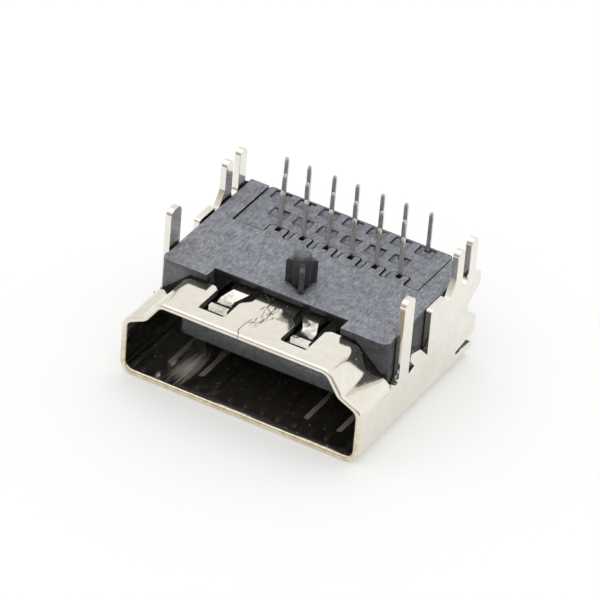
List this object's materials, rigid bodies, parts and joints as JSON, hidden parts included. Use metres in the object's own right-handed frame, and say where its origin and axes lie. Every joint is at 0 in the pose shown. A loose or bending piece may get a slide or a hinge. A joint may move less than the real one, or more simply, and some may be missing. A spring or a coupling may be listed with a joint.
{
  "type": "hdmi socket",
  "caption": "Right-angle through-hole board socket: folded metal shell with legs, moulded housing with a contact tongue, locating post and solder tails, lying on its wide face.",
  "frame": {"origin": "middle of the bounding box's footprint, on the plane that the wide face rests on", "axes": "+X across the socket, +Y from the mouth towards the rear, +Z from the wide face towards the solder tails"},
  "size_m": [0.0148, 0.0126, 0.0082],
  "materials": {
    "nickel_sheet": "bright nickel plate on folded sheet",
    "dark_plastic": "moulded, glass filled, with flow marks",
    "spacer_plastic": "moulded, glass filled",
    "contact_metal": "tin plated tails on stamped strip"
  },
  "bodies": {
    "root": {"shell": "nickel_sheet", "housing": "dark_plastic", "tail_spacer": "spacer_plastic", "contact_01": "contact_metal", "contact_02": "contact_metal", "contact_03": "contact_metal", "contact_04": "contact_metal", "contact_05": "contact_metal", "contact_06": "contact_metal", "contact_07": "contact_metal", "contact_08": "contact_metal", "contact_09": "contact_metal", "contact_10": "contact_metal", "contact_11": "contact_metal", "contact_12": "contact_metal", "contact_13": "contact_metal", "contact_14": "contact_metal", "contact_15": "contact_metal", "contact_16": "contact_metal", "contact_17": "contact_metal", "contact_18": "contact_metal", "contact_19": "contact_metal"}
  },
  "joints": []
}
